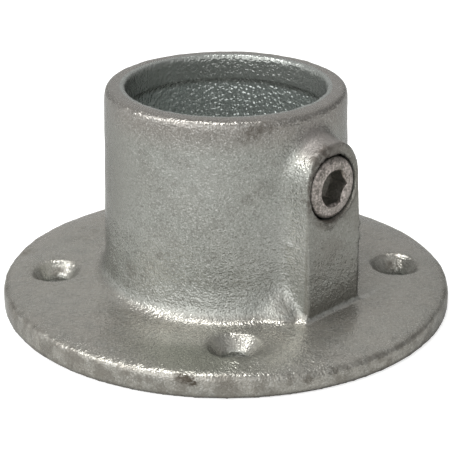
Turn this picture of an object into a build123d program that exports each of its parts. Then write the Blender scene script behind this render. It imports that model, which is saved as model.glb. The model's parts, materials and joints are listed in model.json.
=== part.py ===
from build123d import *
import math
import os

# Tube clamp base flange: a cast socket on a round base, and the set screw that grips the tube.
# Millimetres. The underside lies on Z = 0, the tube's axis is Z, and the set screw points along +X.

# Tube and bore
tube_diameter = 48.3
tube_clearance = 0.6          # radial, so that the tube slips in
mouth_land = 6.3              # length of the full-size bore at the top
foot_land = 8.0               # and at the bottom
relief_depth = 0.45           # the bore between the two lands is this much deeper
relief_slope = 0.5            # length of the slope at each end of the relief

# Collar
overall_height = 56.5
rim_wall = 5.2                # wall at the top of the collar
collar_draft = 1.3            # degrees; the collar widens towards the base
rim_outer_bevel = 0.7
rim_inner_bevel = 0.4
collar_foot_fillet = 4.0

# Base
flange_diameter = 114.5
flange_thickness = 6.9        # where the top is flat
edge_thickness = 5.2          # at the rim, below the rounded shoulder
shoulder_width = 11.0         # the top falls away over this width
flange_edge_bevel = 0.6
underside_bevel = 0.5

# Fixing holes, as cast
hole_count = 4
hole_diameter = 6.6
hole_mouth_diameter = 13.4
hole_cone_angle = 90.0        # degrees, included
hole_edge_distance = 13.25    # from the flange's rim to a hole's centre
hole_turn = 2.5               # degrees; the holes sit this far round from midway beside the boss

# Set screw
screw_diameter = 16.0
screw_clearance = 0.05        # radial
rim_to_screw = 17.8           # from the rim down to the screw's axis, so that the boss stays below the rim
screw_tip_inset = 0.6         # from the bore's wall back to the screw's tip, at rest
screw_head_chamfer = 1.0
screw_point_chamfer = 1.6
hex_across_flats = 8.0
hex_depth = 5.0
hex_mouth_diameter = 9.4      # of the round countersink over the hexagon
hex_mouth_angle = 90.0        # degrees, included
hex_drill_depth = 1.8         # of the cone at the bottom of the socket
cup_diameter = 8.0
cup_depth = 1.6
drill_point_angle = 120.0     # degrees, included; the socket's cone and the cup

# Boss for the set screw
boss_depth = 11.25            # from the bore's wall to the flat face
boss_rim = 1.25               # metal beside the screw hole
boss_crown = 2.2              # the arched top's centre is this far above the screw's axis
boss_lean = 1.5               # degrees; the face leans back from the base
boss_flank_draft = 3.0        # degrees
boss_blend = 2.5              # hollow where the boss meets the collar and the base
boss_edge_round = 0.7
screw_hole_bevel = 0.3

# Worked out from the sizes above
screw_height = overall_height - rim_to_screw
bore_radius = tube_diameter / 2 + tube_clearance
collar_radius = bore_radius + rim_wall
flange_radius = flange_diameter / 2
hole_circle_radius = flange_radius - hole_edge_distance
first_hole_angle = 180 / hole_count + hole_turn
screw_hole_radius = screw_diameter / 2 + screw_clearance
boss_half_width = screw_hole_radius + boss_rim
boss_reach = bore_radius + boss_depth
boss_root = bore_radius + rim_wall / 2
screw_tip = bore_radius + screw_tip_inset
screw_length = boss_reach - screw_tip
socket_bevel = (hex_mouth_diameter - hex_across_flats) / 2 / math.tan(math.radians(hex_mouth_angle / 2))


def collar_radius_at(height):
    return collar_radius + (overall_height - height) * math.tan(math.radians(collar_draft))


# Half section: across it is the distance from the tube's axis, up it is height.
# It lies on the side away from the boss, so that the seam of the turned faces is there too.
section_plane = Plane(origin=(0, 0, 0), x_dir=(-1, 0, 0), z_dir=(0, 1, 0))

# The boss's flat face, which leans back by boss_lean: along it is Y, up it is its own slope
lean = math.radians(boss_lean)
face_plane = Plane(
    origin=(boss_reach, 0, screw_height),
    x_dir=(0, 1, 0),
    z_dir=(math.cos(lean), 0, math.sin(lean)),
)

with BuildPart() as flange_casting:
    # Base and collar, turned about the tube's axis
    relief_radius = bore_radius + relief_depth
    mouth_land_foot = overall_height - mouth_land
    shoulder_start = (flange_radius - shoulder_width, flange_thickness)
    flange_edge = (flange_radius, edge_thickness)
    flange_underside = (flange_radius, 0)
    collar_foot = (collar_radius_at(flange_thickness), flange_thickness)
    rim_outside = (collar_radius, overall_height)
    rim_inside = (bore_radius, overall_height)
    bore_underside = (bore_radius, 0)
    with BuildSketch(section_plane):
        with BuildLine():
            Polyline(
                shoulder_start,
                collar_foot,
                rim_outside,
                rim_inside,
                (bore_radius, mouth_land_foot),
                (relief_radius, mouth_land_foot - relief_slope),
                (relief_radius, foot_land + relief_slope),
                (bore_radius, foot_land),
                bore_underside,
                flange_underside,
                flange_edge,
            )
            TangentArc(shoulder_start, flange_edge, tangent=(1, 0))
        make_face()
        fillet(vertices().sort_by_distance(collar_foot)[0], radius=collar_foot_fillet)
        for corner, bevel in (
            (rim_outside, rim_outer_bevel),
            (rim_inside, rim_inner_bevel),
            (flange_edge, flange_edge_bevel),
            (flange_underside, underside_bevel),
            (bore_underside, underside_bevel),
        ):
            chamfer(vertices().sort_by_distance(corner)[0], length=bevel)
    revolve(axis=Axis.Z)

    # Boss: a flat face with an arched top, run back into the collar's wall and the base
    with BuildSketch(face_plane):
        with BuildLine():
            boss_foot = flange_thickness / 2 - screw_height
            right_flank = Line((boss_half_width, boss_foot), (boss_half_width, boss_crown))
            crown = CenterArc((0, boss_crown), boss_half_width, 0, 180)
            left_flank = Line(crown @ 1, (-boss_half_width, boss_foot))
            Line(left_flank @ 1, right_flank @ 0)
        make_face()
    extrude(amount=boss_root - boss_reach, taper=-boss_flank_draft)
    boss_face = faces().sort_by_distance(face_plane.origin)[0]
    outline = boss_face.edges().filter_by_position(Axis.Z, flange_thickness, overall_height)
    fillet(outline, radius=boss_edge_round)

    # One hollow runs all round the boss, over the collar, down its flanks and along the base
    flank_height = (flange_thickness + screw_height) / 2
    flank_root = (collar_radius_at(flank_height), boss_half_width, flank_height)
    fillet(edges().sort_by_distance(flank_root)[0], radius=boss_blend)

    # Fixing holes
    with BuildSketch(Plane.XY):
        with PolarLocations(hole_circle_radius, hole_count, start_angle=first_hole_angle):
            Circle(hole_diameter / 2)
    extrude(amount=overall_height, mode=Mode.SUBTRACT)
    with BuildSketch(Plane.XY.offset(flange_thickness)):
        with PolarLocations(hole_circle_radius, hole_count, start_angle=first_hole_angle):
            Circle(hole_mouth_diameter / 2)
    cone_depth = (hole_mouth_diameter - hole_diameter) / 2 / math.tan(math.radians(hole_cone_angle / 2))
    extrude(amount=-cone_depth, taper=hole_cone_angle / 2, mode=Mode.SUBTRACT)

    # Screw hole, square to the tube
    with BuildSketch(Plane.YZ.offset(bore_radius / 2)):
        with Locations((0, screw_height)):
            Circle(screw_hole_radius)
    extrude(amount=boss_reach, mode=Mode.SUBTRACT)
    hole_mouth = edges().sort_by_distance((boss_reach, screw_hole_radius, screw_height))[0]
    chamfer(hole_mouth, length=screw_hole_bevel)

# Set screw, with its hexagon socket outwards and its cup point towards the tube
with BuildPart() as set_screw:
    screw_face = Plane(origin=(boss_reach, 0, screw_height), x_dir=(0, 1, 0), z_dir=(1, 0, 0))
    with BuildSketch(screw_face):
        Circle(screw_diameter / 2)
    extrude(amount=-screw_length)
    chamfer(edges().sort_by(Axis.X)[-1], length=screw_head_chamfer)
    chamfer(edges().sort_by(Axis.X)[0], length=screw_point_chamfer)

    # Socket: two of its corners point sideways, and it ends in a shallow drilled cone
    with BuildSketch(screw_face):
        RegularPolygon(hex_across_flats / 2, 6, major_radius=False)
    extrude(amount=-hex_depth, mode=Mode.SUBTRACT)
    with BuildSketch(screw_face):
        Circle(hex_mouth_diameter / 2)
    extrude(amount=-socket_bevel, taper=hex_mouth_angle / 2, mode=Mode.SUBTRACT)
    with BuildSketch(screw_face.offset(-hex_depth)):
        Circle(hex_across_flats / 2)
    extrude(amount=-hex_drill_depth, taper=drill_point_angle / 2, mode=Mode.SUBTRACT)

    # Cup point
    with BuildSketch(screw_face.offset(-screw_length)):
        Circle(cup_diameter / 2)
    extrude(amount=cup_depth, taper=drill_point_angle / 2, mode=Mode.SUBTRACT)

flange_casting.part.label = "flange_casting"
set_screw.part.label = "set_screw"
os.makedirs("parts", exist_ok=True)
for piece in (flange_casting, set_screw):
    export_step(piece.part, f"parts/{piece.part.label}.step")
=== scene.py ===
"""Looks of the tube clamp base flange: a rough galvanised casting and a steel set screw.

Lengths are in metres, in the part's own frame: +Z up along the tube's axis, +X along the set screw.
The part's sizes that aren't read from its frame are written in millimetres and multiplied by MM.
"""
import json
import math

import bpy
import numpy as np
from mathutils import Euler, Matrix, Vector, noise


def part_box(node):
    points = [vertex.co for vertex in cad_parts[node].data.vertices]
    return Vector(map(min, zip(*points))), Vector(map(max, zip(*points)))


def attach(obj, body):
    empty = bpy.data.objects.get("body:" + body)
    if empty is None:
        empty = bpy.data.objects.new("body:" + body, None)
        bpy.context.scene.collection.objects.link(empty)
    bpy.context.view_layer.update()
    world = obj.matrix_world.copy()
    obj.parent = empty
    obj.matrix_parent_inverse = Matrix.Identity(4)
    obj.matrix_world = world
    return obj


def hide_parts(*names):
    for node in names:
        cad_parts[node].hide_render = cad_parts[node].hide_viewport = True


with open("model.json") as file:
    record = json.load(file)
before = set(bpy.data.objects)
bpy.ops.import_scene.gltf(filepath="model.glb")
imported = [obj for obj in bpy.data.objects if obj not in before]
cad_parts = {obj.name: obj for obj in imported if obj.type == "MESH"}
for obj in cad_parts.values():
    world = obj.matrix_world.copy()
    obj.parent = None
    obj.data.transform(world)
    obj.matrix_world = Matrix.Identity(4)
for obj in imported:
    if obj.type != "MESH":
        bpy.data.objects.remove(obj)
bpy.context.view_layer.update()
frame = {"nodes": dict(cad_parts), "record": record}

MM = 0.001

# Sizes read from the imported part
casting_low, casting_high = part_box("flange_casting")
screw_low, screw_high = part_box("set_screw")
MOUNTS = {mount["name"]: mount for mount in frame["record"]["mounts"]}
BORE_RADIUS = MOUNTS["tube_socket"]["dims"]["r_mm"] * MM
HOLE_CIRCLE_RADIUS = MOUNTS["fixing_holes"]["dims"]["pcd_mm"] / 2 * MM
FLANGE_RADIUS = casting_high[0]
RIM_HEIGHT = casting_high[2]
SCREW_RADIUS = (screw_high[2] - screw_low[2]) / 2
SCREW_HEIGHT = (screw_high[2] + screw_low[2]) / 2
SCREW_FACE = screw_high[0]
SCREW_TIP = screw_low[0]

# Forms of the casting, as they are modelled
BASE_TOP = 6.9 * MM
MOUTH_LAND = 6.3 * MM
LIP_HEIGHT = RIM_HEIGHT - MOUTH_LAND   # the bore's top land ends here, and its relief begins
FIRST_HOLE = 47.5                      # degrees round the tube's axis, from +X towards +Y
HOLE_MOUTH_RADIUS = 6.7 * MM
HOLE_MOUTH_START = HOLE_CIRCLE_RADIUS - HOLE_MOUTH_RADIUS
BOSS_HALF_WIDTH = 9.3 * MM
BOSS_LEAN = math.radians(1.5)
BOSS_DRAFT = math.radians(3.0)
BOSS_ROOT = BORE_RADIUS + 2 * MM       # what is farther out along X can be the boss
BOSS_TOP = RIM_HEIGHT - 4 * MM         # and lies below this


# ---------------------------------------------------------------- meshes

def new_piece(name, vertices, faces, body):
    """A mesh object that rides on a CAD body."""
    mesh = bpy.data.meshes.new(name)
    mesh.from_pydata([tuple(v) for v in vertices], [], [tuple(f) for f in faces])
    mesh.update()
    piece = bpy.data.objects.new(name, mesh)
    bpy.context.scene.collection.objects.link(piece)
    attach(piece, body)
    return piece


def shade_smooth(piece):
    for polygon in piece.data.polygons:
        polygon.use_smooth = True


def around(azimuth, radius, height):
    """A point given by its angle about the tube's axis in degrees, its radius and height in mm."""
    angle = math.radians(azimuth)
    return (radius * math.cos(angle) * MM, radius * math.sin(angle) * MM, height * MM)


def ramp(values, start, stop):
    """0 up to start and 1 from stop on, with a smooth step between. It runs down if stop is the smaller."""
    t = np.clip((values - start) / (stop - start), 0, 1)
    return t * t * (3 - 2 * t)


NOISE_STRIDE = (17.3, 5.7, 11.9)       # each seed reads the noise this much farther on


def noise_at(points, size, seed):
    """Smooth noise from about -1 to 1 whose lumps are about size across."""
    offset = Vector([seed * stride for stride in NOISE_STRIDE])
    return np.array([noise.noise(Vector(p) / size + offset) for p in points])


def bump_at(points, centre, width):
    """1 at centre, falling smoothly to 0 over about width."""
    distance = np.linalg.norm(points - np.array(centre), axis=1)
    return np.exp(-(distance / width) ** 2)


# ---------------------------------------------------------------- casting's skin

VOXEL = 0.68 * MM                 # the casting's skin is remade from cells of this size
SMOOTHING = 0.5                   # share of the way to its neighbours' middle that a round moves a point
CRISP_ROUNDS = 2                  # rounds of smoothing where an edge stays crisp
SOFT_ROUNDS = 14                  # and where the metal flows from one surface into the next
FLOWING_ROUNDS = 40               # and on the boss's shoulder, which has hardly an edge left
GATHERED_ROUNDS = 200             # and where zinc has filled a corner

FOOT_SOFTNESS = 0.5               # share of the soft skin at the collar's foot
RIM_SOFTNESS = 0.5                # share of the flowing skin round the rim's outer edge

VALLEY = around(-20.0, 31.5, 9.5)      # the corner between collar, boss and base, where zinc has gathered
VALLEY_WIDTH = 4.2 * MM
VALLEY_FILL = 1.6                      # over 1, so that the corner's middle is filled evenly


def fresh_skin(node, rounds):
    """Points, normals and faces of a fine even skin over a CAD node, smoothed so many rounds."""
    skin = bpy.data.objects.new("skin", frame["nodes"][node].data.copy())
    bpy.context.scene.collection.objects.link(skin)
    remesh = skin.modifiers.new("remesh", "REMESH")
    remesh.mode = "VOXEL"
    remesh.voxel_size = VOXEL
    smooth = skin.modifiers.new("smooth", "SMOOTH")
    smooth.factor = SMOOTHING
    smooth.iterations = rounds
    evaluated = skin.evaluated_get(bpy.context.evaluated_depsgraph_get())
    mesh = bpy.data.meshes.new_from_object(evaluated)
    points = np.empty(len(mesh.vertices) * 3)
    mesh.vertices.foreach_get("co", points)
    normals = np.empty(len(mesh.vertices) * 3)
    mesh.vertices.foreach_get("normal", normals)
    faces = [tuple(polygon.vertices) for polygon in mesh.polygons]
    bpy.data.objects.remove(skin)
    return points.reshape(-1, 3), normals.reshape(-1, 3), faces


def soft_share(points):
    """1 where the casting's corners are well rounded, 0 where they stay crisp."""
    x, y, z = points.T
    radius = np.hypot(x, y)
    on_boss = (x > BOSS_ROOT) & (np.abs(y) < BOSS_HALF_WIDTH + 6 * MM)
    crown = on_boss * ramp(z, SCREW_HEIGHT + 1 * MM, SCREW_HEIGHT + 6 * MM) * (z < BOSS_TOP)
    hollow = on_boss * ramp(np.abs(y), BOSS_HALF_WIDTH - 2 * MM, BOSS_HALF_WIDTH)
    hollow *= ramp(x, 35 * MM, 33 * MM)
    hollow *= ramp(z, 8 * MM, 11 * MM) * (z < SCREW_HEIGHT + 12 * MM)
    foot = ramp(z, BASE_TOP - 1 * MM, BASE_TOP) * ramp(z, 16 * MM, 12 * MM) * (radius < 38 * MM)
    foot *= (radius > BORE_RADIUS + 2 * MM) * ramp(x, 34 * MM, 32 * MM) * FOOT_SOFTNESS
    edge = ramp(radius, FLANGE_RADIUS - 6 * MM, FLANGE_RADIUS - 4 * MM) * ramp(z, 1.5 * MM, 2.5 * MM)
    rim = ramp(radius, BORE_RADIUS + 1.5 * MM, BORE_RADIUS + 3.5 * MM)
    rim *= ramp(z, RIM_HEIGHT - 5 * MM, RIM_HEIGHT - 3 * MM)
    return np.max((crown, hollow, foot, edge, rim), axis=0)


def flowing_share(points):
    """1 where the boss's shoulder flows into the collar on the -Y side; RIM_SOFTNESS round the rim."""
    x, y, z = points.T
    behind_face = ramp(SCREW_FACE - x, 0.4 * MM, 1.8 * MM) * (x > BOSS_ROOT)
    near_side = ramp(y, 7 * MM, 3 * MM)
    height = ramp(z, SCREW_HEIGHT + 1 * MM, SCREW_HEIGHT + 4 * MM) * (z < BOSS_TOP)
    rim = RIM_SOFTNESS * ramp(np.hypot(x, y), BORE_RADIUS + 2.5 * MM, BORE_RADIUS + 4.5 * MM)
    rim *= ramp(z, RIM_HEIGHT - 5 * MM, RIM_HEIGHT - 3 * MM)
    return np.maximum(behind_face * near_side * height, rim)


def gathered_share(points):
    """1 where zinc has gathered in the corner beside the boss."""
    return np.minimum(1, VALLEY_FILL * bump_at(points, VALLEY, VALLEY_WIDTH))


# ---------------------------------------------------------------- casting's shape

FOOT_SPREAD = 0.9 * MM            # zinc has run down and thickened the collar's foot by this much
FAR_FOOT_SHARE = 0.4              # of which this share is left on the side of the tube towards -X and -Y
BOSS_FOOT_FILLET = 1.3 * MM
BOSS_EDGE_REACH = 1.6 * MM        # the boss's edges are sharpened this far in from them
BOSS_EDGE_PUSH = 0.75             # share of a point's distance from the edge that it is pushed out
RELIEF_EXTRA = 0.35 * MM          # the bore's relief is cast this much deeper than it is modelled
SCREW_CLEARANCE = 0.05 * MM       # radial
BOX_CLEARANCE = 0.02 * MM         # between the base's edge and the part's own box

# The base's shoulder is a little high or low round the rim: (angle, mm)
SHOULDER_WAVES = ((-112, 0.9), (-95, 1.0), (-78, 0.8), (-62, 0.5), (-45, 0.4), (-24, -0.3), (0, -0.6),
                  (16, 0.1), (45, -0.3), (90, -0.9), (135, -0.6), (180, -0.4), (225, 0.1), (248, 0.9))

# Unevenness of the cast skin: (size of the lumps, height), in mm
SKIN_WAVES = ((9, 0.10), (4, 0.07), (1.9, 0.045))
DIMPLE_SIZE = 1.9 * MM            # on the bore's wall
DIMPLE_HEIGHT = 0.15 * MM
DIMPLE_SINK = 0.04 * MM           # takes the dimpled wall back to about where it was
LUMP_SIZE = 1.5 * MM              # on the zinc in the valley
LUMP_HEIGHT = 0.25 * MM
LUMP_SPREAD = 5 * MM

# Lumps and runs left by casting and galvanising: (centre, width, height), the last two in mm
ZINC_MARKS = (
    (around(FIRST_HOLE - 90, 50.3, 6.9), 3.0, 0.75),
    (around(FIRST_HOLE - 84, 50.0, 6.9), 2.2, 0.45),
    (around(FIRST_HOLE, 37.3, 6.9), 2.0, 0.35),
    (around(FIRST_HOLE - 180, 38.0, 6.9), 2.4, 0.4),
    ((SCREW_FACE, -1.2 * MM, 30.0 * MM), 0.9, 0.7),
    ((SCREW_FACE, -2.9 * MM, 30.0 * MM), 0.9, 0.7),
    ((SCREW_FACE, BOSS_HALF_WIDTH, 27.3 * MM), 0.8, 0.5),
    ((SCREW_FACE, BOSS_HALF_WIDTH, 23.8 * MM), 0.9, 0.5),
    (around(-17.5, 32.3, 25.3), 0.7, 0.5),
    (around(-23.0, 35.0, 8.5), 3.2, 0.6),
    (around(-21.0, 32.0, 9.0), 3.4, 0.9),
    (around(-160.5, 45.4, 6.9), 0.9, 0.4),
    (around(-162.7, 43.5, 6.9), 0.8, 0.5),
    (around(-169.0, 43.6, 6.9), 0.9, 0.5),
)


def boss_face(z):
    """How far out the boss's flat face is at a height; it leans back a little."""
    return SCREW_FACE + (SCREW_HEIGHT - z) * math.tan(BOSS_LEAN)


def fillet_flare(height, radius):
    """How far a fillet of this radius stands out, at a height above the surface that it runs into."""
    rise = np.clip(height, 0, radius)
    return radius - np.sqrt(radius ** 2 - (radius - rise) ** 2)


def spread_foot(points):
    """Thickens the collar's foot, short of the boss and of the fixing holes' mouths."""
    x, y, z = points.T
    radius = np.hypot(x, y)
    height = z - BASE_TOP
    shift = FOOT_SPREAD * ramp(height, 9 * MM, 2 * MM) * (height > -1 * MM)
    shift *= ramp(radius, HOLE_MOUTH_START, HOLE_MOUTH_START - 2.2 * MM)
    shift *= radius > BORE_RADIUS + 3 * MM
    shift *= 1 - ramp(x, 20 * MM, 26 * MM) * ramp(np.abs(y), 12 * MM, 9.8 * MM)
    shift *= FAR_FOOT_SHARE + (1 - FAR_FOOT_SHARE) * ramp(x + y, -42 * MM, -17 * MM)
    points[:, 0] += x / radius * shift
    points[:, 1] += y / radius * shift


def trim_boss_foot(points):
    """Takes the hollow at the foot of the boss's face, and of its far flank, back to a tight corner."""
    x, y, z = points.T
    height = z - BASE_TOP
    near = (height > 0.02 * MM) & (height < 5 * MM) & (x > BORE_RADIUS + 6 * MM)
    flare = fillet_flare(height, BOSS_FOOT_FILLET)
    face = boss_face(z) + flare
    flank = BOSS_HALF_WIDTH + (face - x) * math.tan(BOSS_DRAFT) + flare
    before_face = near & (np.abs(y) < BOSS_HALF_WIDTH + 4 * MM) & (x > face)
    points[before_face, 0] = face[before_face]
    beside_flank = near & (y > flank) & (y < BOSS_HALF_WIDTH + 4 * MM) & (x > 33 * MM)
    points[beside_flank, 1] = flank[beside_flank]


def sharpen_boss_edges(points):
    """Below the screw the boss's face meets its flanks in a crisp edge."""
    x, y, z = points.T
    inset = boss_face(z) - x
    flank = BOSS_HALF_WIDTH + inset * math.tan(BOSS_DRAFT) - np.abs(y)
    corner = (inset > -0.1 * MM) & (inset < BOSS_EDGE_REACH)
    corner &= (flank > -0.1 * MM) & (flank < BOSS_EDGE_REACH)
    corner &= (z > BASE_TOP + 1 * MM) & (z < SCREW_HEIGHT)
    push = BOSS_EDGE_PUSH * np.minimum(inset, flank) * ramp(z, SCREW_HEIGHT, SCREW_HEIGHT - 8 * MM)
    push = np.where(corner, np.maximum(push, 0), 0)
    points[:, 0] += push
    points[:, 1] += np.sign(y) * push


def deepen_relief(points):
    """The bore below its top land is cast a little deeper, with a clear step."""
    x, y, z = points.T
    radius = np.hypot(x, y)
    wall = (radius < BORE_RADIUS + 0.9 * MM) & (z > 9 * MM)
    depth = RELIEF_EXTRA * ramp(z, LIP_HEIGHT, LIP_HEIGHT - 0.7 * MM)
    points[wall, 0] += (x / radius * depth)[wall]
    points[wall, 1] += (y / radius * depth)[wall]


def uneven_shoulder(points):
    """Raises or lowers the top of the base towards its rim."""
    x, y, z = points.T
    radius = np.hypot(x, y)
    angle = np.degrees(np.arctan2(y, x))
    angles = [a for a, _ in SHOULDER_WAVES]
    heights = [h for _, h in SHOULDER_WAVES]
    lift = np.interp(angle, [a - 360 for a in angles] + angles, heights + heights) * MM
    outer = ramp(radius, 44 * MM, 57 * MM)
    upper = ramp(z, 1.0 * MM, 4.5 * MM) * (z < 12 * MM)
    points[:, 2] += lift * outer * upper


def cast_surface(points, normals):
    """Pushes the skin in and out as a rough galvanised casting is, but not the screw hole or underside."""
    x, y, z = points.T
    radius = np.hypot(x, y)
    screw_distance = np.hypot(y, z - SCREW_HEIGHT)
    near_screw = (x > BORE_RADIUS) & (screw_distance < SCREW_RADIUS + 0.8 * MM)
    in_bore = (radius < BORE_RADIUS + 0.8 * MM) & (z > 1.5 * MM) & ~near_screw
    push = np.zeros(len(points))
    for seed, (size, height) in enumerate(SKIN_WAVES, start=1):
        push += height * MM * noise_at(points, size * MM, seed)
    dimples = noise_at(points, DIMPLE_SIZE, 4)
    push += np.where(in_bore, DIMPLE_HEIGHT * np.abs(dimples) - DIMPLE_SINK, 0)
    push += LUMP_HEIGHT * noise_at(points, LUMP_SIZE, 5) * bump_at(points, VALLEY, LUMP_SPREAD)
    push[near_screw] = 0
    push[z < 0.4 * MM] = 0
    points += normals * push[:, None]


def zinc_marks(points, normals):
    for centre, width, height in ZINC_MARKS:
        points += normals * (height * MM * bump_at(points, centre, width * MM))[:, None]


def round_screw_hole(points):
    """Makes the tapped hole's wall true again."""
    x, y, z = points.T
    dz = z - SCREW_HEIGHT
    radius = np.hypot(y, dz)
    wall = (x > BORE_RADIUS) & (radius > SCREW_RADIUS - 0.7 * MM) & (radius < SCREW_RADIUS + 0.45 * MM)
    wall &= x < SCREW_FACE - 0.35 * MM
    true_radius = SCREW_RADIUS + SCREW_CLEARANCE
    points[wall, 1] = y[wall] / radius[wall] * true_radius
    points[wall, 2] = SCREW_HEIGHT + dz[wall] / radius[wall] * true_radius


def keep_in_box(points):
    """Nothing stands proud of the part's own box."""
    x, y, z = points.T
    radius = np.maximum(np.hypot(x, y), 1e-9)
    scale = np.minimum(1, (FLANGE_RADIUS - BOX_CLEARANCE) / radius)
    points[:, 0] *= scale
    points[:, 1] *= scale
    points[:, 2] = np.clip(z, casting_low[2], casting_high[2])


def make_casting():
    crisp, normals, faces = fresh_skin("flange_casting", CRISP_ROUNDS)
    points = crisp.copy()
    for share_at, rounds in ((soft_share, SOFT_ROUNDS), (flowing_share, FLOWING_ROUNDS),
                             (gathered_share, GATHERED_ROUNDS)):
        softer, softer_normals, _ = fresh_skin("flange_casting", rounds)
        share = share_at(crisp)[:, None]
        points = points * (1 - share) + softer * share
        normals = normals * (1 - share) + softer_normals * share
    spread_foot(points)
    trim_boss_foot(points)
    sharpen_boss_edges(points)
    deepen_relief(points)
    uneven_shoulder(points)
    cast_surface(points, normals)
    zinc_marks(points, normals)
    round_screw_hole(points)
    keep_in_box(points)
    casting = new_piece("casting", points, faces, "flange")
    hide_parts("flange_casting")
    shade_smooth(casting)
    return casting


# ---------------------------------------------------------------- set screw

THREAD_PITCH = 2.0 * MM
THREAD_DEPTH = 0.75 * MM
THREAD_FLAT = 0.1                 # share of half a pitch that is flat, at the crest and again at the root
CREST_RADIUS = SCREW_RADIUS - 0.04 * MM
NECK_RADIUS = 7.6 * MM            # the plain end above the thread
NECK_LENGTH = 1.6 * MM
NECK_SLOPE = 0.5 * MM
POINT_CHAMFER = 1.6 * MM
SOCKET_FLAT = 4.0 * MM            # from the screw's axis to a flat of the hexagon
SOCKET_DEPTH = 5.0 * MM
SOCKET_MOUTH = 4.65 * MM          # radius of the round countersink over the hexagon
DRILL_DEPTH = 1.8 * MM            # of the cone below the hexagon
DRILL_RADIUS = SOCKET_FLAT - 0.3 * MM
DRILL_TIP_RADIUS = 0.25 * MM
CUP_RADIUS = 4.0 * MM
CUP_DEPTH = 1.6 * MM
CUP_LIP = 0.5 * MM                # width of the flat ring round the cup
CUP_FLOOR_RADIUS = CUP_RADIUS * 0.3
END_RISE = 0.1 * MM               # the socket's and the cup's last ring close in a cone this high
AROUND = 144                      # points round the screw
THREAD_STEPS = 110                # steps from ring to ring along the neck and thread
SHARP_ANGLE = math.radians(32)    # an edge that turns more than this is shaded sharp

# The socket's rings, as shares of its depth: close together where the countersink meets the hexagon
SOCKET_RINGS = (1, 0.99, 0.6, 0.3, 0.15, 0.13, 0.11, 0.09, 0.07, 0.05, 0.03, 0.02, 0.01, 0)

# Round the socket: a flat ring, then a rounded shoulder down to the neck: (radius, depth)
HEAD_PROFILE = ((4.7 * MM, 0), (5.3 * MM, 0), (6.0 * MM, 0.03 * MM), (6.55 * MM, 0.12 * MM),
                (7.0 * MM, 0.3 * MM), (7.3 * MM, 0.55 * MM), (7.5 * MM, 0.85 * MM), (7.6 * MM, 1.3 * MM))


def hexagon(angle):
    """Distance from the axis to the hexagon, two corners of which lie at angle 0 and 180 degrees."""
    turn = angle % (math.pi / 3) - math.pi / 6
    return SOCKET_FLAT / math.cos(turn)


def thread_radius(angle, x):
    """The screw's side: a plain neck, then a thread whose crests fade out at the point."""
    phase = (x / THREAD_PITCH - angle / (2 * math.pi)) % 1
    flank = abs(2 * phase - 1)
    groove = min(1, max(0, (flank - THREAD_FLAT) / (1 - 2 * THREAD_FLAT)))
    past_neck = min(1, max(0, (SCREW_FACE - x - NECK_LENGTH) / NECK_SLOPE))
    neck = NECK_RADIUS + (CREST_RADIUS - NECK_RADIUS) * past_neck
    point = CREST_RADIUS - max(0, POINT_CHAMFER - (x - SCREW_TIP))
    return min(CREST_RADIUS - THREAD_DEPTH * groove, neck, point)


def socket_radius(angle, depth):
    """The socket's side: a round countersink that runs down into the hexagon."""
    return max(hexagon(angle), SOCKET_MOUTH - depth)


def screw_rings():
    """Rings of (x, radius at an angle) from the socket's bottom, over the head and thread, to the cup."""
    rings = [(SCREW_FACE - SOCKET_DEPTH - DRILL_DEPTH, lambda a: DRILL_TIP_RADIUS),
             (SCREW_FACE - SOCKET_DEPTH, lambda a: DRILL_RADIUS)]
    for share in SOCKET_RINGS:
        depth = share * SOCKET_DEPTH
        rings.append((SCREW_FACE - depth, lambda a, d=depth: socket_radius(a, d)))
    for radius, depth in HEAD_PROFILE:
        rings.append((SCREW_FACE - depth, lambda a, r=radius: r))
    start = SCREW_FACE - HEAD_PROFILE[-1][1] - 0.1 * MM
    stop = SCREW_TIP + 0.05 * MM
    for i in range(THREAD_STEPS + 1):
        x = start + (stop - start) * i / THREAD_STEPS
        rings.append((x, lambda a, x=x: thread_radius(a, x)))
    rings.append((SCREW_TIP, lambda a: CUP_RADIUS + CUP_LIP))
    rings.append((SCREW_TIP, lambda a: CUP_RADIUS))
    rings.append((SCREW_TIP + CUP_DEPTH, lambda a: CUP_FLOOR_RADIUS))
    return rings


def through_rings(rings):
    """Vertices and faces of a closed skin through the rings."""
    vertices = []
    for x, radius_at in rings:
        for i in range(AROUND):
            angle = 2 * math.pi * i / AROUND
            radius = radius_at(angle)
            vertices.append((x, radius * math.cos(angle), SCREW_HEIGHT + radius * math.sin(angle)))
    last = (len(rings) - 1) * AROUND
    faces = []
    for a in range(0, last, AROUND):
        b = a + AROUND
        for i in range(AROUND):
            j = (i + 1) % AROUND
            faces.append((a + i, b + i, b + j, a + j))
    socket_end = len(vertices)
    vertices.append((rings[0][0] - END_RISE, 0, SCREW_HEIGHT))
    cup_end = len(vertices)
    vertices.append((rings[-1][0] + END_RISE, 0, SCREW_HEIGHT))
    for i in range(AROUND):
        j = (i + 1) % AROUND
        faces.append((socket_end, i, j))
        faces.append((cup_end, last + j, last + i))
    return vertices, faces


def make_screw():
    vertices, faces = through_rings(screw_rings())
    screw = new_piece("screw", vertices, faces, "screw")
    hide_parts("set_screw")
    shade_smooth(screw)
    screw.data.set_sharp_from_angle(angle=SHARP_ANGLE)
    return screw


# ---------------------------------------------------------------- node trees

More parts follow.
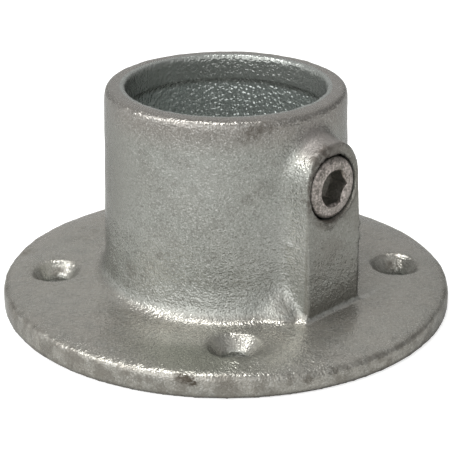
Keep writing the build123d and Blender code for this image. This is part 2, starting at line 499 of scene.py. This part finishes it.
class Nodes:
    """A short way to write a node tree: each call adds nodes and links what it is given."""

    def __init__(self, tree):
        self.tree = tree
        tree.nodes.clear()

    def add(self, kind, inputs=(), output=0, **settings):
        made = self.tree.nodes.new(kind)
        for name, value in settings.items():
            setattr(made, name, value)
        for key, value in dict(inputs).items():
            socket = made.inputs[key]
            if isinstance(value, bpy.types.NodeSocket):
                self.tree.links.new(value, socket)
            else:
                socket.default_value = value
        return made.outputs[output]

    def math(self, operation, a, b, clamp=False):
        return self.add("ShaderNodeMath", {0: a, 1: b}, operation=operation, use_clamp=clamp)

    def times(self, value, *others):
        for other in others:
            value = self.math("MULTIPLY", value, other)
        return value

    def plus(self, value, *others):
        for other in others:
            value = self.math("ADD", value, other)
        return value

    def largest(self, value, *others):
        for other in others:
            value = self.math("MAXIMUM", value, other)
        return value

    def distance(self, a, b):
        return self.add("ShaderNodeVectorMath", {0: a, 1: b}, output="Value", operation="DISTANCE")

    def noise(self, place, size, detail=2.0, roughness=0.5, distortion=0.0):
        inputs = {"Vector": place, "Scale": 1 / size, "Detail": detail, "Roughness": roughness,
                  "Distortion": distortion}
        return self.add("ShaderNodeTexNoise", inputs)

    def step(self, value, start, stop):
        """0 up to start and 1 from stop on, with a smooth step between, as in ramp."""
        return self.add("ShaderNodeMapRange", {"Value": value, "From Min": start, "From Max": stop},
                        interpolation_type="SMOOTHSTEP")

    def near(self, place, centre, radius, soft):
        """1 round centre and 0 from radius on, with a smooth step over soft's share of the radius."""
        return self.step(self.distance(place, centre), radius, radius * (1 - soft))

    def mix(self, share, a, b):
        return self.add("ShaderNodeMix", {0: share, 6: a, 7: b}, output=2, data_type="RGBA")

    def coat(self, base, where, strength, colour_on_top):
        """The base colour with another over it, where and as strongly as it is told."""
        return self.mix(self.times(where, strength), base, colour_on_top)

    def surface(self, shader, kind="ShaderNodeOutputMaterial"):
        output = self.tree.nodes.new(kind)
        self.tree.links.new(shader, output.inputs["Surface"])


def new_material(name):
    material = bpy.data.materials.new(name)
    material.use_nodes = True
    return material, Nodes(material.node_tree)


def from_screw_axis(n, place):
    """Distance from the set screw's axis."""
    across = n.add("ShaderNodeVectorMath", {0: place, 1: (0, 1, 1)}, operation="MULTIPLY")
    return n.distance(across, (0, 0, SCREW_HEIGHT))


def colour(red, green, blue):
    return (red, green, blue, 1.0)


# ---------------------------------------------------------------- galvanised iron

COOL_ZINC = colour(0.37, 0.383, 0.352)
WARM_ZINC = colour(0.395, 0.372, 0.330)
DULL_ZINC = colour(0.30, 0.30, 0.275)
DARK_ZINC = colour(0.20, 0.195, 0.175)
DULL_GREEN = colour(0.215, 0.218, 0.185)
RIM_ZINC = colour(0.235, 0.215, 0.205)
BRIGHT_ZINC = colour(0.60, 0.60, 0.57)
BORE_ZINC = colour(0.50, 0.55, 0.53)
EDGE_TINT = colour(0.55, 0.55, 0.55)       # rough zinc doesn't brighten where it is seen at a glance
# dark brown of the stains, also used for the spots of painted shade
STAIN_AND_SHADE_BROWN = colour(0.06, 0.048, 0.034)
# brownish dirt, also used as painted shade over the boss's face
FACE_DIRT_AND_SHADE = colour(0.19, 0.175, 0.15)
SCREW_DIRT = colour(0.075, 0.062, 0.05)

ZINC_METALLIC = 0.68
ZINC_BUMP = 0.3 * MM
BORE_CELL = 0.9 * MM              # size of the pits in the bore

# Spots of rust and dirt, and a few of painted shade: ((degrees round the tube, radius, height) of the
# middle, radius, strength), in mm
STAINS_AND_SHADE = (
    ((-55.6, 57.2, 5.2), 2.2, 1.0),
    ((-54.0, 57.2, 4.9), 2.4, 1.0),
    ((-52.6, 57.2, 4.3), 1.6, 1.0),
    # painted shade: a dark reflection on the collar beside the boss
    ((-27.0, 30.5, 40.0), 4.0, 0.2),
    ((-34.0, 57.2, 5.6), 1.4, 0.5),
    ((-26.2, 57.2, 3.6), 1.6, 0.7),
    ((-44.6, 57.2, 4.6), 3.5, 0.3),
    ((-110.9, 57.2, 4.5), 1.6, 0.6),
    ((-147.8, 54.5, 6.0), 3.5, 0.6),
    ((-38.0, 30.0, 52.6), 2.4, 0.35),
    ((-33.0, 30.0, 54.0), 3.0, 0.6),
    ((-27.0, 30.0, 55.0), 2.6, 0.5),
    ((-52.4, 30.0, 53.0), 1.8, 0.2),
    ((-86.0, 30.2, 45.6), 3.0, 0.25),
    ((-72.0, 30.2, 47.5), 1.8, 0.2),
    ((-64.5, 30.2, 46.6), 2.4, 0.25),
    ((-60.1, 30.3, 40.1), 1.5, 0.25),
    ((-36.2, 30.3, 37.8), 2.0, 0.3),
    ((-76.0, 30.5, 22.0), 1.8, 0.4),
    ((-94.6, 30.8, 15.4), 3.0, 0.5),
    ((-6.3, 46.1, 6.9), 1.4, 0.5),
    # painted shade in the far walls of two fixing holes' countersinks
    ((52.1, 44.2, 4.6), 3.2, 0.75),
    ((-137.1, 43.9, 4.6), 3.0, 0.7),
)
SPOT_SOFTNESS = 0.7

# Broad painted shade and painted light on the collar, shade down its left side as the camera sees it and
# light high on its front: (middle, radius in mm, softness, strength, colour)
COLLAR_SHADE_AND_LIGHT = (
    (around(-125, 31, 38), 28, 0.8, 0.85, DULL_ZINC),
    (around(-140, 31, 34), 24, 0.8, 0.5, DULL_GREEN),
    (around(-58, 30.5, 43), 13, 0.9, 0.16, BRIGHT_ZINC),
)


class CastingPlaces:
    """What the casting's colours share: coordinates, noises, and regions that are 1 inside and 0 outside."""

    def __init__(self, n):
        self.place = n.add("ShaderNodeTexCoord", output="Object")
        self.x, self.y, self.z = n.add("ShaderNodeSeparateXYZ", {0: self.place}).node.outputs
        level = n.add("ShaderNodeCombineXYZ", {0: self.x, 1: self.y, 2: 0.0})
        self.from_axis = n.add("ShaderNodeVectorMath", {0: level}, output="Value", operation="LENGTH")

        self.clouds = n.noise(self.place, 13 * MM, 3, 0.55)
        self.mottle = n.noise(self.place, 4.0 * MM, 3, 0.6, 0.4)
        self.grain = n.noise(self.place, 0.8 * MM, 3, 0.75)
        self.fine = n.noise(self.place, 0.42 * MM, 2, 0.7)

        normal = n.add("ShaderNodeTexCoord", output="Normal")
        self.flat = n.step(n.add("ShaderNodeSeparateXYZ", {0: normal}, output=2), 0.35, 0.85)
        self.rim = n.step(self.z, RIM_HEIGHT - 10 * MM, RIM_HEIGHT - 2 * MM)
        self.side = n.step(self.from_axis, FLANGE_RADIUS - 2 * MM, FLANGE_RADIUS - 0.5 * MM)
        self.near_boss = n.step(self.from_axis, 41 * MM, 39 * MM)
        self.in_bore = n.step(self.from_axis, BORE_RADIUS + 1.6 * MM, BORE_RADIUS + 1.2 * MM)
        self.on_land = n.times(n.step(self.z, LIP_HEIGHT - 0.3 * MM, LIP_HEIGHT + 0.5 * MM), self.in_bore)


def zinc(n, at):
    """The zinc itself: cool or warm grey, mottled, with a fine bright and dark grain."""
    warm_places = n.largest(at.flat, at.rim, at.side)
    warm_share = n.plus(n.times(warm_places, 0.7), n.times(at.clouds, 0.7))
    warm_share = n.math("SUBTRACT", warm_share, 0.3, clamp=True)
    base = n.mix(warm_share, COOL_ZINC, WARM_ZINC)
    base = n.coat(base, n.step(at.mottle, 0.42, 0.68), 0.45, DULL_ZINC)
    base = n.coat(base, at.rim, 0.5, RIM_ZINC)
    smudges = n.noise(at.place, 3.0 * MM, 4, 0.6)
    base = n.coat(base, n.step(smudges, 0.60, 0.70), 0.5, DARK_ZINC)
    base = n.coat(base, n.step(at.grain, 0.47, 0.30), 0.6, DARK_ZINC)
    sandy = n.math("SUBTRACT", 1.0, n.times(at.flat, 0.5))
    base = n.coat(base, n.step(at.fine, 0.50, 0.72), n.times(sandy, 0.8), BRIGHT_ZINC)
    return n.coat(base, n.step(at.fine, 0.50, 0.28), n.times(sandy, 0.7), DARK_ZINC)


def dirt_round_screw(n, at):
    """How dirty the boss is round its screw, which is more on the -Y side and just above the hole."""
    ring = n.step(from_screw_axis(n, at.place), 10.8 * MM, 8.5 * MM)
    dirtier_side = n.step(at.y, 5 * MM, -4 * MM)
    ring = n.times(ring, n.plus(n.times(dirtier_side, 0.6), 0.4))
    above = n.near(at.place, (SCREW_FACE - 1.0 * MM, -4.0 * MM, SCREW_HEIGHT + 8.5 * MM), 5.5 * MM, 0.7)
    outside = n.step(at.x, SCREW_FACE - 3.2 * MM, SCREW_FACE - 1.2 * MM)
    crust = n.step(n.noise(at.place, 1.2 * MM, 2, 0.65), 0.40, 0.60)
    return n.times(n.largest(ring, above), outside, n.plus(n.times(crust, 0.8), 0.15))


def stains_and_shade(n, at, base, matt):
    """The base colour with the boss's dirty crown, the stains and the spots of painted shade, and how matt
    they leave each place.
    """
    crown = n.near(at.place, (SCREW_FACE - 2.5 * MM, -2.0 * MM, SCREW_HEIGHT + 11.0 * MM), 7.5 * MM, 0.6)
    base = n.coat(base, crown, 0.7, RIM_ZINC)
    matt = n.largest(matt, n.times(crown, 0.55))
    patchy = n.step(n.noise(at.place, 1.1 * MM, 4, 0.7), 0.36, 0.54)
    # real stains, and a few spots of painted shade
    for middle, radius, strength in STAINS_AND_SHADE:
        spot = n.near(at.place, around(*middle), radius * MM, SPOT_SOFTNESS)
        spot = n.times(spot, patchy, strength)
        base = n.mix(spot, base, STAIN_AND_SHADE_BROWN)
        matt = n.largest(matt, spot)
    return base, matt


def painted_shade_and_light(n, at, base):
    """Broad painted shade and light: shade along the base's lower edge, near its front top edge (greenish
    there as well) and on the collar's left; light high on the collar's front and on the boss's flank.
    """
    # painted shade along the lower edge of the base's side, by the floor
    shaded_low_edge = n.times(n.step(at.z, 1.9 * MM, 0.5 * MM), at.side)
    base = n.coat(base, shaded_low_edge, 0.8, DARK_ZINC)
    # a greenish patina, and painted shade for the dark reflection across the top of the base near its front
    # edge, which also dims the highlight on that edge
    tinted_shaded_top = n.near(at.place, around(-52, 49, BASE_TOP / MM), 22 * MM, 0.8)
    tinted_shaded_top = n.times(tinted_shaded_top, n.step(at.from_axis, 41 * MM, 48 * MM))
    tinted_shaded_top = n.times(tinted_shaded_top, n.step(at.from_axis, 57.2 * MM, 54.5 * MM))
    base = n.coat(base, tinted_shaded_top, 0.85, DULL_GREEN)
    # painted shade down the collar's left side and painted light high on its front
    for middle, radius, softness, strength, over in COLLAR_SHADE_AND_LIGHT:
        base = n.coat(base, n.near(at.place, middle, radius * MM, softness), strength, over)
    # painted light on the boss's -Y flank, which faces the lamps
    lit_flank = n.near(at.place, (SCREW_FACE - 1.5 * MM, -BOSS_HALF_WIDTH, 24 * MM), 16 * MM, 0.9)
    lit_flank = n.times(lit_flank, n.step(at.x, SCREW_FACE - 0.1 * MM, SCREW_FACE - 0.5 * MM))
    return n.coat(base, lit_flank, 0.3, BRIGHT_ZINC)


def shaded_dirty_boss_face(n, at, base):
    face = boss_face(SCREW_HEIGHT)
    on_face = n.times(n.step(at.x, face - 0.9 * MM, face - 0.3 * MM), at.near_boss)
    on_face = n.times(on_face, n.step(at.z, BASE_TOP + 0.8 * MM, BASE_TOP + 1.6 * MM))
    # painted shade over the whole face, which is turned away from the lamps, then patches of brownish dirt
    base = n.coat(base, on_face, 0.35, FACE_DIRT_AND_SHADE)
    return n.coat(base, n.times(on_face, n.step(at.clouds, 0.35, 0.55)), 0.3, FACE_DIRT_AND_SHADE)


def highlight_at_boss_foot(n, at, base):
    """A painted highlight in bright zinc along the foot of the boss's face, broken up by the grain."""
    foot_highlight = n.step(at.z, BASE_TOP - 0.6 * MM, BASE_TOP)
    foot_highlight = n.times(foot_highlight, n.step(at.z, BASE_TOP + 1.2 * MM, BASE_TOP + 0.6 * MM))
    foot_highlight = n.times(foot_highlight, n.step(at.x, SCREW_FACE - 0.3 * MM, SCREW_FACE + 0.3 * MM))
    foot_highlight = n.times(foot_highlight, n.step(at.x, SCREW_FACE + 1.9 * MM, SCREW_FACE + 1.1 * MM))
    foot_highlight = n.times(foot_highlight, n.step(at.y, -10.5 * MM, -9.5 * MM), at.near_boss)
    return n.coat(base, n.times(foot_highlight, n.step(at.grain, 0.35, 0.6)), 0.6, BRIGHT_ZINC)


def dirty_side(n, at, base):
    """Dirt on the side of the base."""
    patches = n.step(n.noise(at.place, 4.2 * MM, 4, 0.65), 0.46, 0.62)
    return n.coat(base, n.times(at.side, patches), 0.6, FACE_DIRT_AND_SHADE)


def bore_colour(n, at, base):
    """The brighter bore, its duller top land, and painted shadow under the land's lip."""
    base = n.coat(base, at.in_bore, 0.7, BORE_ZINC)
    base = n.coat(base, at.on_land, 0.45, DULL_ZINC)
    # painted shadow under the overhang of the bore's top land
    lip_shadow = n.step(at.z, LIP_HEIGHT - 2.2 * MM, LIP_HEIGHT - 0.6 * MM)
    lip_shadow = n.times(lip_shadow, n.step(at.z, LIP_HEIGHT + 0.4 * MM, LIP_HEIGHT - 0.1 * MM))
    return n.coat(base, n.times(lip_shadow, at.in_bore), 0.6, DARK_ZINC)


def zinc_height(n, at):
    """The finest unevenness, in shares of ZINC_BUMP."""
    cells = n.add("ShaderNodeTexVoronoi", {"Vector": at.place, "Scale": 1 / BORE_CELL, "Smoothness": 0.4},
                  feature="SMOOTH_F1")
    pitted = n.math("SUBTRACT", at.in_bore, n.times(at.on_land, 0.6))
    pebbles = n.noise(at.place, 0.95 * MM, 0)
    grit = n.noise(at.place, 0.42 * MM, 0)
    coarse = n.math("SUBTRACT", 1.0, n.times(at.flat, 0.2))
    waves = n.noise(at.place, 2.2 * MM, 2)
    return n.plus(n.times(pebbles, 0.3), n.times(grit, coarse, 0.42), n.times(waves, 0.3),
                  n.times(cells, pitted, 1.2))


def galvanised():
    """Hot-dip zinc over rough cast iron: mottled grey, greenish on the walls and warmer where it is flat."""
    material, n = new_material("galvanised_iron")
    at = CastingPlaces(n)
    dirt = dirt_round_screw(n, at)
    base, matt = stains_and_shade(n, at, zinc(n, at), n.times(dirt, 0.6))
    base = painted_shade_and_light(n, at, base)
    base = shaded_dirty_boss_face(n, at, base)
    base = highlight_at_boss_foot(n, at, base)
    base = n.coat(base, dirt, 0.85, SCREW_DIRT)
    base = dirty_side(n, at, base)
    base = bore_colour(n, at, base)
    rough = n.plus(n.times(at.mottle, 0.10), n.times(at.fine, 0.20), n.times(matt, 0.4),
                   n.times(at.flat, 0.10))
    metallic = n.math("SUBTRACT", ZINC_METALLIC, n.times(matt, 0.5))
    normal = n.add("ShaderNodeBump", {"Height": zinc_height(n, at), "Strength": 1.0, "Distance": ZINC_BUMP})
    n.surface(n.add("ShaderNodeBsdfPrincipled", {"Base Color": base, "Metallic": metallic,
                                                 "Roughness": rough, "Specular Tint": EDGE_TINT,
                                                 "Normal": normal}))
    return material


# ---------------------------------------------------------------- screw's steel

LIGHT_STEEL = colour(0.44, 0.40, 0.37)
BROWN_STEEL = colour(0.19, 0.175, 0.155)
STEEL_PIT = colour(0.10, 0.09, 0.08)
STEEL_SPECK = colour(0.80, 0.70, 0.66)
OILED_STEEL = colour(0.20, 0.205, 0.185)
HEAD_GAP_SHADE = colour(0.06, 0.055, 0.05)

STEEL_METALLIC = 0.85
STEEL_ROUGHNESS = 0.30
SHOULDER_ROUGHNESS = 0.15         # added on the outer part of the head
STEEL_BUMP = 0.16 * MM


def screw_steel():
    """Oiled steel: mottled pinkish brown on its face, darker behind it, with painted shade round the head's
    edge, in the gap to the hole.
    """
    material, n = new_material("screw_steel")
    place = n.add("ShaderNodeTexCoord", output="Object")
    mottle = n.noise(place, 1.7 * MM, 4, 0.6, 0.6)
    grain = n.noise(place, 0.5 * MM, 0)
    base = n.mix(n.step(mottle, 0.34, 0.74), LIGHT_STEEL, BROWN_STEEL)
    base = n.coat(base, n.step(grain, 0.48, 0.30), 0.4, STEEL_PIT)
    base = n.coat(base, n.step(grain, 0.54, 0.74), 0.5, STEEL_SPECK)
    x = n.add("ShaderNodeSeparateXYZ", {0: place}, output=0)
    base = n.coat(base, n.step(x, SCREW_FACE - 0.4 * MM, SCREW_FACE - 1.3 * MM), 0.65, OILED_STEEL)
    from_axis = from_screw_axis(n, place)
    # painted shade round the head's edge, where it meets the hole
    base = n.coat(base, n.step(from_axis, 7.42 * MM, 7.62 * MM), 0.9, HEAD_GAP_SHADE)
    shoulder = n.step(from_axis, 6.6 * MM, 7.3 * MM)
    rough = n.plus(n.times(shoulder, SHOULDER_ROUGHNESS), STEEL_ROUGHNESS)
    height = n.plus(n.times(grain, 0.6), n.times(mottle, 0.7))
    normal = n.add("ShaderNodeBump", {"Height": height, "Strength": 1.0, "Distance": STEEL_BUMP})
    n.surface(n.add("ShaderNodeBsdfPrincipled", {"Base Color": base, "Metallic": STEEL_METALLIC,
                                                 "Roughness": rough, "Normal": normal}))
    return material


# ---------------------------------------------------------------- studio

FLOOR_SIZE = 6.0                  # metres from the middle to a side
FLOOR_GAP = 0.02 * MM             # below the part's underside
FLOOR_GREY = colour(0.60, 0.60, 0.59)
FLOOR_LIFT = 0.70                 # what the floor lacks to be white in the picture
FLOOR_SHINE = 0.05                # and in the metal
WHITE = colour(1, 1, 1)

CAMERA_AZIMUTH = 44.8
CAMERA_ELEVATION = 22.92
CAMERA_DISTANCE = 377.8 * MM
CAMERA_AIM = 18.4 * MM            # height of the point on the tube's axis that it looks at
CAMERA_LENS = 117.5               # in mm, before a sensor that is 36 mm wide

# The room's soft lights: (name, degrees round from the camera to its right, elevation, spread, strength)
GLOWS = (
    ("backdrop", 180, 12, 38, 0.50),
    ("left", -90, 10, 40, 0.65),
    ("front left", -40, 10, 45, 1.1),
    ("front", 0, 10, 40, 0.7),
    ("high back left", -125, 45, 38, 0.2),
    ("high back right", 145, 48, 25, 0.35),
    ("high left", -76, 46, 15, 7.6),
    ("high front left", -50, 45, 38, 1.0),
    ("high front", 0, 45, 38, 0.4),
    ("high front right", 40, 40, 35, 0.4),
    ("top", -105, 81, 15, 12.0),
)
AMBIENT = 0.20                    # light from everywhere else


def make_floor():
    mesh = bpy.data.meshes.new("floor")
    height = casting_low[2] - FLOOR_GAP
    corners = [(x * FLOOR_SIZE, y * FLOOR_SIZE, height) for x, y in ((-1, -1), (1, -1), (1, 1), (-1, 1))]
    mesh.from_pydata(corners, [], [(0, 1, 2, 3)])
    floor = bpy.data.objects.new("floor", mesh)
    bpy.context.scene.collection.objects.link(floor)
    material, n = new_material("floor_white")
    rays = n.add("ShaderNodeLightPath").node.outputs
    lifted = n.plus(n.times(rays["Is Camera Ray"], FLOOR_LIFT), n.times(rays["Is Glossy Ray"], FLOOR_SHINE))
    diffuse = n.add("ShaderNodeBsdfDiffuse", {"Color": FLOOR_GREY})
    lift = n.add("ShaderNodeEmission", {"Color": WHITE, "Strength": lifted})
    n.surface(n.add("ShaderNodeAddShader", {0: diffuse, 1: lift}))
    floor.data.materials.append(material)


def toward(azimuth, elevation):
    """Direction given by its degrees round from the camera, to the camera's right, and its elevation."""
    a = math.radians(CAMERA_AZIMUTH + azimuth)
    e = math.radians(elevation)
    return Vector((math.sin(a) * math.cos(e), -math.cos(a) * math.cos(e), math.sin(e)))


def make_world():
    world = bpy.data.worlds.new("studio")
    bpy.context.scene.world = world
    world.use_nodes = True
    n = Nodes(world.node_tree)
    direction = n.add("ShaderNodeTexCoord", output="Generated")
    light = AMBIENT
    for _, azimuth, elevation, spread, strength in GLOWS:
        facing = n.add("ShaderNodeVectorMath", {0: direction, 1: toward(azimuth, elevation)},
                       output="Value", operation="DOT_PRODUCT")
        glow = n.step(facing, math.cos(math.radians(spread)), 1.0)
        light = n.plus(light, n.times(glow, strength))
    camera_ray = n.add("ShaderNodeLightPath", output="Is Camera Ray")
    shown = n.add("ShaderNodeMix", {0: camera_ray, 2: light, 3: 1.0})
    background = n.add("ShaderNodeBackground", {"Color": WHITE, "Strength": shown})
    n.surface(background, "ShaderNodeOutputWorld")


def make_camera():
    data = bpy.data.cameras.new("camera")
    data.lens = CAMERA_LENS
    data.sensor_width = 36
    data.clip_start = 0.01
    camera = bpy.data.objects.new("camera", data)
    bpy.context.scene.collection.objects.link(camera)
    camera.location = Vector((0, 0, CAMERA_AIM)) + CAMERA_DISTANCE * toward(0, CAMERA_ELEVATION)
    tilt = math.pi / 2 - math.radians(CAMERA_ELEVATION)
    camera.rotation_euler = Euler((tilt, 0, math.radians(CAMERA_AZIMUTH)))
    bpy.context.scene.camera = camera


# ---------------------------------------------------------------- build

casting = make_casting()
casting.data.materials.append(galvanised())
screw = make_screw()
screw.data.materials.append(screw_steel())
make_floor()
make_world()
make_camera()
bpy.context.scene.view_settings.view_transform = "Standard"
